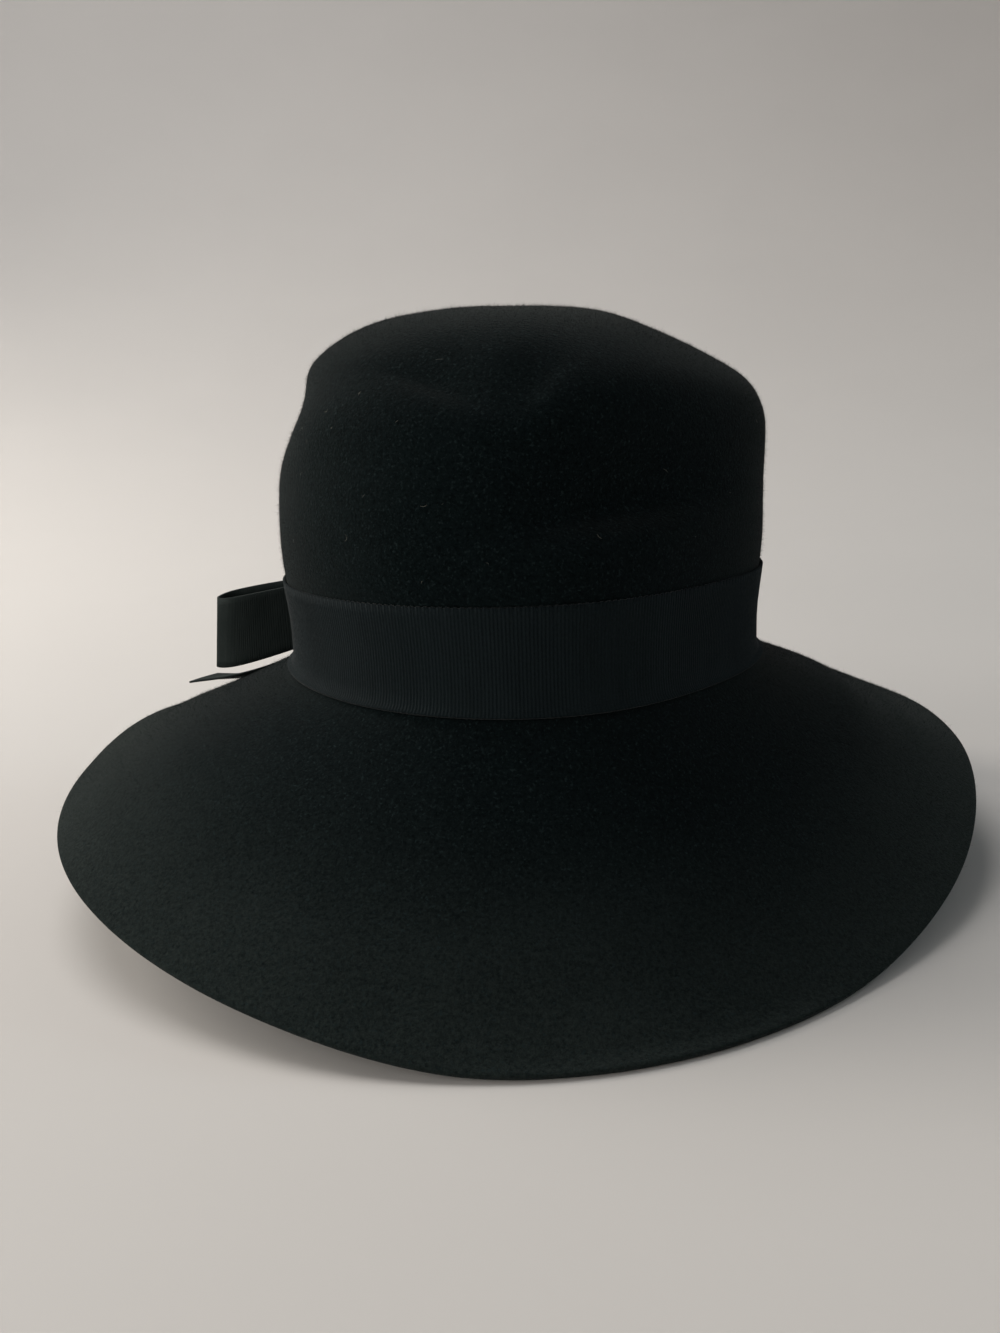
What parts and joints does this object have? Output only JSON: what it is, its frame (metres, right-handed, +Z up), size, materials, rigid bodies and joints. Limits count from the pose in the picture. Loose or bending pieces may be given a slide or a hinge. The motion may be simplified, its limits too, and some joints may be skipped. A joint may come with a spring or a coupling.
{
  "type": "cloche hat",
  "caption": "Black felt cloche hat with a soft round crown, a wide brim sloping down all round, a grosgrain ribbon band and a ribbon bow",
  "frame": {"origin": "on the floor under the middle of the hat's box", "axes": "+Z up through the crown, -Y to the hat's front as pictured, +X to the right in the picture"},
  "size_m": [0.3438, 0.3368, 0.202],
  "materials": {
    "felt": "matte felt",
    "ribbon": "matte grosgrain"
  },
  "bodies": {
    "root": {"felt_body": "felt", "hat_band": "ribbon", "bow_loop_front": "ribbon", "bow_loop_rear": "ribbon", "bow_knot": "ribbon", "bow_tail_front": "ribbon", "bow_tail_rear": "ribbon"}
  },
  "joints": []
}
